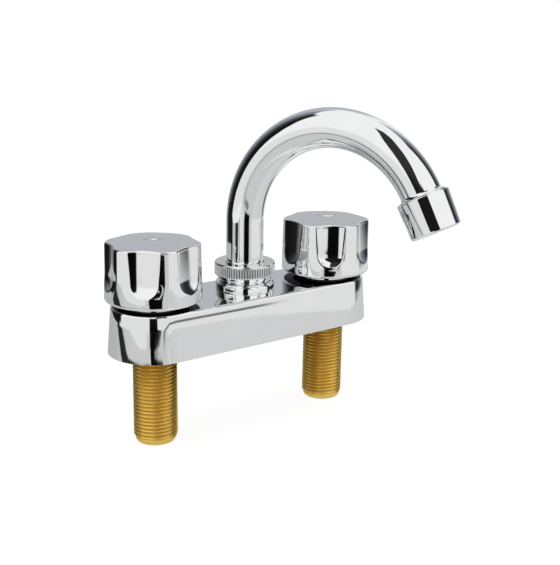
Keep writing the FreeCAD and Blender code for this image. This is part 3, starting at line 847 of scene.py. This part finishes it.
def flute_reach(angle, height):
    """How far out the flute's scoop starts, at an angle from the flute's middle."""
    half = flute_width / 2
    floor = knob_rim_radius - flute_depth
    sag = math.sqrt(knob_rim_radius ** 2 - half ** 2) - floor
    scoop = (half ** 2 + sag ** 2) / (2 * sag)
    middle = floor + scoop + (knob_rim - height) * math.tan(math.radians(flute_lean))
    run_out = math.sqrt(flute_end_radius ** 2 - (flute_end_radius - flute_depth) ** 2)
    below = min(max(knob_rim - flute_length + run_out - height, 0.0), flute_end_radius)
    scoop -= flute_end_radius - math.sqrt(flute_end_radius ** 2 - below ** 2)
    aside = middle * math.sin(angle)
    if abs(aside) >= scoop:
        return 2 * knob_radius
    return middle * math.cos(angle) - math.sqrt(scoop ** 2 - aside ** 2)


def knob_reach(angle, height):
    """Radius of the knob's side: lands buffed round, cut by the flutes, on a round skirt."""
    share = (height - knob_bottom) / (knob_rim - knob_bottom)
    crest = knob_radius + (knob_rim_radius - knob_radius) * share
    buffed = smooth_step(height, land_blend_bottom, land_blend_top)
    lobe = crest + (land_radius - crest) * buffed
    step = 2 * math.pi / flute_count
    from_flute = (angle + step / 2) % step - step / 2
    from_land = max(-land_half_angle, min(land_half_angle, angle % step - step / 2))
    middle = crest - lobe
    land = middle * math.cos(from_land) + math.sqrt(lobe ** 2 - (middle * math.sin(from_land)) ** 2)
    flute = flute_reach(from_flute, height)
    mixed = min(1.0, max(0.0, 0.5 + 0.5 * (flute - land) / border_blend))
    return flute + (land - flute) * mixed - border_blend * mixed * (1 - mixed)


def dome_height(radius):
    crown = knob_top - knob_rim
    dome = (knob_rim_radius ** 2 + crown ** 2) / (2 * crown)
    return knob_top - dome + math.sqrt(dome ** 2 - radius ** 2)


def knob_outline(angle):
    """The knob's section at one angle, from the underside up the outside and back down the hollow."""
    foot_height = knob_bottom + knob_skirt_rounding
    foot = (knob_reach(angle, foot_height) - knob_skirt_rounding, foot_height)
    found = arc(foot, knob_skirt_rounding, -90, 0, 6)
    edge = knob_edge_rounding
    top_radius = knob_reach(angle, knob_rim - edge) - edge
    top_height = dome_height(top_radius) - edge
    for step in range(1, knob_rows):
        height = foot_height + (top_height - foot_height) * step / knob_rows
        found.append((knob_reach(angle, height), height))
    found += arc((top_radius, top_height), edge, 0, 84, 7)
    start = found[-1][0]
    rings = 10
    for step in range(1, rings + 1):
        radius = start + (knob_bore - start) * step / rings
        found.append((radius, dome_height(radius)))
    found += [
        (knob_bore, screw_seat), (screw_bore, screw_seat), (screw_bore, knob_bore_top),
        (knob_bore, knob_bore_top), (knob_bore, knob_hub_bottom), (knob_hub_radius, knob_hub_bottom),
        (knob_hub_radius, knob_ceiling), (knob_cavity_radius, knob_ceiling),
        (knob_cavity_radius, knob_bottom),
    ]
    return found


def add_box(points, faces, low, high, turn):
    """A box from its low to its high corner, turned about the Z axis."""
    first = len(points)
    spin = Matrix.Rotation(turn, 3, "Z")
    for z in (low[2], high[2]):
        for y in (low[1], high[1]):
            for x in (low[0], high[0]):
                points.append(tuple(spin @ Vector((x, y, z))))
    for corners in ((0, 2, 3, 1), (4, 5, 7, 6), (0, 1, 5, 4), (2, 6, 7, 3), (0, 4, 6, 2), (1, 3, 7, 5)):
        faces.append(tuple(first + corner for corner in corners))


def knob_mesh(name):
    points, faces = [], []
    columns = [knob_outline(2 * math.pi * step / knob_rounds) for step in range(knob_rounds)]
    rows = len(columns[0])
    for row in range(rows):
        for step, column in enumerate(columns):
            angle = 2 * math.pi * step / knob_rounds
            radius, height = column[row]
            points.append((radius * math.cos(angle), radius * math.sin(angle), height))
    add_rings(faces, rows, knob_rounds)
    for quarter in range(4):
        low = (knob_hub_radius - 0.3 * MM, -knob_rib_half, knob_rib_bottom)
        high = (knob_cavity_radius + 0.3 * MM, knob_rib_half, knob_ceiling + 0.3 * MM)
        add_box(points, faces, low, high, math.pi / 2 * quarter)
    mesh = bpy.data.meshes.new(name)
    mesh.from_pydata(points, [], faces)
    return mesh


def make_knobs(material):
    for side, x in (("hot", -half_spacing), ("cold", half_spacing)):
        name = side + "_fluted_knob"
        mesh = knob_mesh(name)
        turn = Matrix.Rotation(math.radians(headwork_turn[side]), 4, "Z")
        mesh.transform(Matrix.Translation((x, 0, 0)) @ turn)
        add_piece(name, mesh, material, side + "_control", side + "_knob")


def knurl_cut(turn, _height):
    """Round-backed ribs with narrow valleys between them, the same at every height."""
    phase = turn * knurl_count % 1.0
    return (abs(phase - 0.5) * 2) ** 3


def make_nut(material):
    stations = [(nut_bore, nut_bottom, 0.0), (nut_foot, nut_bottom, 0.0)]
    shoulder = nut_radius - nut_shoulder
    stations.append((shoulder - nut_cone_reach, nut_band_bottom - nut_cone_height, 0.0))
    stations.append((shoulder, nut_band_bottom, 0.0))
    slot_bottom = nut_band_bottom + knurl_margin
    slot_top = nut_top - nut_edge
    for step in range(knurl_rows + 1):
        share = step / knurl_rows
        height = slot_bottom + (slot_top - slot_bottom) * share
        end = min(share, 1 - share) * knurl_rows / knurl_end_rows
        depth = knurl_depth * math.sqrt(min(1.0, end))
        stations.append((nut_radius, height, depth))
    for radius, height in arc((nut_radius - nut_edge, nut_top - nut_edge), nut_edge, 8, 90, 8):
        stations.append((radius, height, 0.0))
    stations += [
        (nut_eye + nut_eye_chamfer, nut_top, 0.0), (nut_eye, nut_top - nut_eye_chamfer, 0.0),
        (nut_eye, nut_top - nut_lip, 0.0), (nut_bore, nut_top - nut_lip, 0.0),
    ]
    mesh = lathe_mesh("knurled_spout_nut", stations, knurl_count * knurl_steps, knurl_cut)
    add_piece("knurled_spout_nut", mesh, material, "base", "spout_nut", sharp=50.0)


def make_drum(material):
    """The round pad on the body under the spout nut, with a fine crevice at its foot."""
    foot = drum_radius - drum_crevice
    stations = [(drum_inside, body_height - drum_crevice), (foot, body_height - drum_crevice)]
    stations += [(foot, body_height + 0.05 * MM), (drum_radius, body_height + drum_crevice)]
    stations.append((drum_radius, body_height + drum_crevice + guard))
    stations += arc((drum_radius - drum_rounding, drum_top - drum_rounding), drum_rounding, 0, 90, 14)
    stations += [(drum_radius - drum_rounding - guard, drum_top), (drum_inside, drum_top)]
    mesh = turned_mesh("spout_drum", stations, tube_rounds)
    add_piece("spout_drum", mesh, material, "base", slot="chrome_body")


def bent_tube_mesh(name):
    """The spout's tube up its rise and round its bend, out along the skin and back along the bore."""
    pivot = Matrix.Translation((bend_radius, 0, spout_rise))
    path = [(0.0, tube_seat), (0.0, tube_seat + guard), (0.0, spout_rise - guard)]
    for step in range(tube_steps + 1):
        path.append((math.radians(bend_sweep) * step / tube_steps, spout_rise))
    points, faces = [], []
    for radius, run in ((tube_radius, path), (tube_radius - tube_wall, path[::-1])):
        for bend, height in run:
            carried = pivot @ Matrix.Rotation(bend, 4, "Y") @ pivot.inverted()
            for step in range(tube_rounds):
                angle = 2 * math.pi * step / tube_rounds
                ring = Vector((radius * math.cos(angle), radius * math.sin(angle), height))
                points.append(tuple(carried @ ring))
    add_rings(faces, 2 * len(path), tube_rounds)
    mesh = bpy.data.meshes.new(name)
    mesh.from_pydata(points, [], faces)
    mesh.transform(Matrix.Rotation(math.radians(spout_rest_angle), 4, "Z"))
    return mesh


def collar_outline():
    found = arc((collar_brim, spout_rise - collar_flare), collar_flare, 165, 90, 12)
    socket = tube_radius + socket_gap
    bore = tube_radius - tube_wall
    found += [(collar_thread, spout_rise), (collar_thread, collar_end), (bore, collar_end)]
    found += [(bore, spout_rise), (socket, spout_rise), (socket, found[0][1])]
    return found


def housing_outline():
    top = (housing_top_radius - housing_top_rounding, housing_top + housing_top_rounding)
    foot = (housing_foot_radius - housing_foot_rounding, housing_end - housing_foot_rounding)
    found = [(collar_thread + 0.1 * MM, housing_top)]
    found += arc(top, housing_top_rounding, -90, 0, 8)
    found += [(housing_top_radius, top[1] + guard), (housing_foot_radius, foot[1] - guard)]
    found += arc(foot, housing_foot_rounding, 0, 90, 12)
    found += [(lip_radius, housing_end), (lip_radius, housing_lip), (housing_bore, housing_lip)]
    found += [(housing_bore, housing_shoulder), (collar_thread + 0.1 * MM, housing_shoulder)]
    return found


def make_spout(materials):
    tube = bent_tube_mesh("bent_spout_tube")
    add_piece("bent_spout_tube", tube, materials["chrome_tube"], "swivel_spout", "spout_tube")
    for name, outline, node in (("flared_collar", collar_outline(), "outlet_collar"),
                                ("aerator_shell", housing_outline(), "aerator_housing")):
        mesh = turned_mesh(name, outline, tube_rounds)
        mesh.transform(outlet_place())
        add_piece(name, mesh, materials[slot_of[node]], "swivel_spout", node)


def outlet_place():
    """Carries what is drawn upright at the start of the bend to the spout's outlet."""
    pivot = Matrix.Translation((bend_radius, 0, spout_rise))
    bend = pivot @ Matrix.Rotation(math.radians(bend_sweep), 4, "Y") @ pivot.inverted()
    return Matrix.Rotation(math.radians(spout_rest_angle), 4, "Z") @ bend


def add_wire(points, faces, line, across, radius, sides=6):
    """A round wire along a line of (along, lift) points, at a place across."""
    first = len(points)
    for index, (along, lift) in enumerate(line):
        for side in range(sides):
            angle = 2 * math.pi * side / sides
            points.append((along, across + radius * math.cos(angle), lift + radius * math.sin(angle)))
        if index:
            for side in range(sides):
                near = first + (index - 1) * sides
                far = near + sides
                following = (side + 1) % sides
                faces.append((near + side, near + following, far + following, far + side))
    faces.append(tuple(range(first, first + sides)))
    last = first + (len(line) - 1) * sides
    faces.append(tuple(reversed(range(last, last + sides))))


def make_screen(material):
    """Woven wire disc in a folded rim, seated on the housing's lip."""
    points, faces = [], []
    middle = screen_top + 0.17 * MM
    reach = screen_radius - mesh_rim
    rows = int(reach / mesh_pitch)
    for turned_over in (False, True):
        for row in range(-rows, rows + 1):
            across = row * mesh_pitch
            half = math.sqrt(reach ** 2 - across ** 2)
            steps = max(4, int(half / mesh_pitch * 8))
            line = []
            for step in range(steps + 1):
                along = -half + 2 * half * step / steps
                side = 1 if (row % 2 == 0) != turned_over else -1
                lift = side * mesh_wire * 0.95 * math.cos(math.pi * along / mesh_pitch)
                line.append((along, lift))
            start = len(points)
            add_wire(points, faces, line, across, mesh_wire)
            if turned_over:
                points[start:] = [(y, x, z) for x, y, z in points[start:]]
    points = [(x, y, z + middle) for x, y, z in points]
    rim_inside = reach - 0.2 * MM
    rim_bottom = screen_top + mesh_rim
    rim = turned_mesh("screen_rim", [
        (rim_inside, screen_top), (screen_radius, screen_top),
        (screen_radius, rim_bottom), (rim_inside, rim_bottom),
    ], mesh_rounds)
    offset = len(points)
    points += [tuple(vertex.co) for vertex in rim.vertices]
    faces += [tuple(offset + corner for corner in face.vertices) for face in rim.polygons]
    mesh = bpy.data.meshes.new("woven_screen")
    mesh.from_pydata(points, [], faces)
    mesh.transform(outlet_place())
    add_piece("woven_screen", mesh, material, "swivel_spout", "aerator_screen")


make_camera()
make_world()
make_lamp()
make_floor()
make_flag()
make_card()
make_table()
materials = make_materials()
for name, node in frame["nodes"].items():
    node.data.materials.clear()
    node.data.materials.append(materials[slot_of[name]])
make_knobs(materials["chrome_knob"])
make_shanks(materials["brass_shank"])
make_nut(materials["chrome_nut"])
make_drum(materials["chrome_body"])
make_spout(materials)
make_screen(materials["steel_mesh"])
bpy.context.scene.view_settings.view_transform = "Standard"
